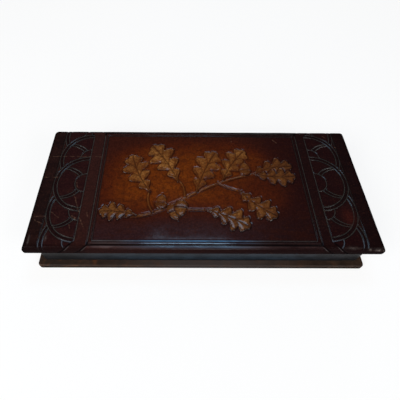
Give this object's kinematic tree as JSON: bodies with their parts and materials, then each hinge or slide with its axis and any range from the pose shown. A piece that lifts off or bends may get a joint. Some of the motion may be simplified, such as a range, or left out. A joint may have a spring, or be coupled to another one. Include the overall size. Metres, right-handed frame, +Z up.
{
  "type": "stationery box",
  "caption": "Long leather-covered box for papers: a shallow lined tray on a projecting base plate, closed by an overhanging tooled lid on hinges at the back.",
  "frame": {"origin": "middle of the underside, on the surface that the closed box stands on", "axes": "+X along the length to the right as seen from the front, +Y to the back where the hinges are, +Z up"},
  "size_m": [0.33, 0.14, 0.052],
  "materials": {
    "plate_wood": "bare plywood",
    "plate_leather": "brown, satin, rubbed lighter in patches",
    "felt": "dark felt",
    "wall_wood": "bare wood",
    "wall_leather": "near-black, satin",
    "lining_cloth": "watered cloth on card",
    "paste_board": "moulded paste board of wood fibre",
    "tooled_leather": "tooled, hand-tinted red-brown to amber, waxed satin",
    "lid_lining_cloth": "watered cloth on card",
    "brass": "aged satin",
    "pin_brass": "aged satin",
    "screw_brass": "turned, slotted"
  },
  "bodies": {
    "box": {"base_board": "plate_wood", "base_leather": "plate_leather", "underside_felt": "felt", "front_wall": "wall_wood", "back_wall": "wall_wood", "left_wall": "wall_wood", "right_wall": "wall_wood", "wall_leather": "wall_leather", "floor_lining": "lining_cloth", "front_lining": "lining_cloth", "back_lining": "lining_cloth", "left_lining": "lining_cloth", "right_lining": "lining_cloth", "left_hinge_wall_leaf": "brass", "left_hinge_pin": "pin_brass", "right_hinge_wall_leaf": "brass", "right_hinge_pin": "pin_brass", "wall_leaf_screws": "screw_brass"},
    "lid": {"lid_board": "plate_wood", "lid_backing": "paste_board", "lid_leather": "tooled_leather", "lid_lining": "lid_lining_cloth", "left_hinge_lid_leaf": "brass", "right_hinge_lid_leaf": "brass", "lid_leaf_screws": "screw_brass"}
  },
  "joints": [
    {"name": "lid_hinge", "type": "hinge", "parent": "box", "child": "lid", "pos_m": [0, 0.0649, 0.04185], "axis": [-1, 0, 0], "range_deg": [0, 110]}
  ]
}
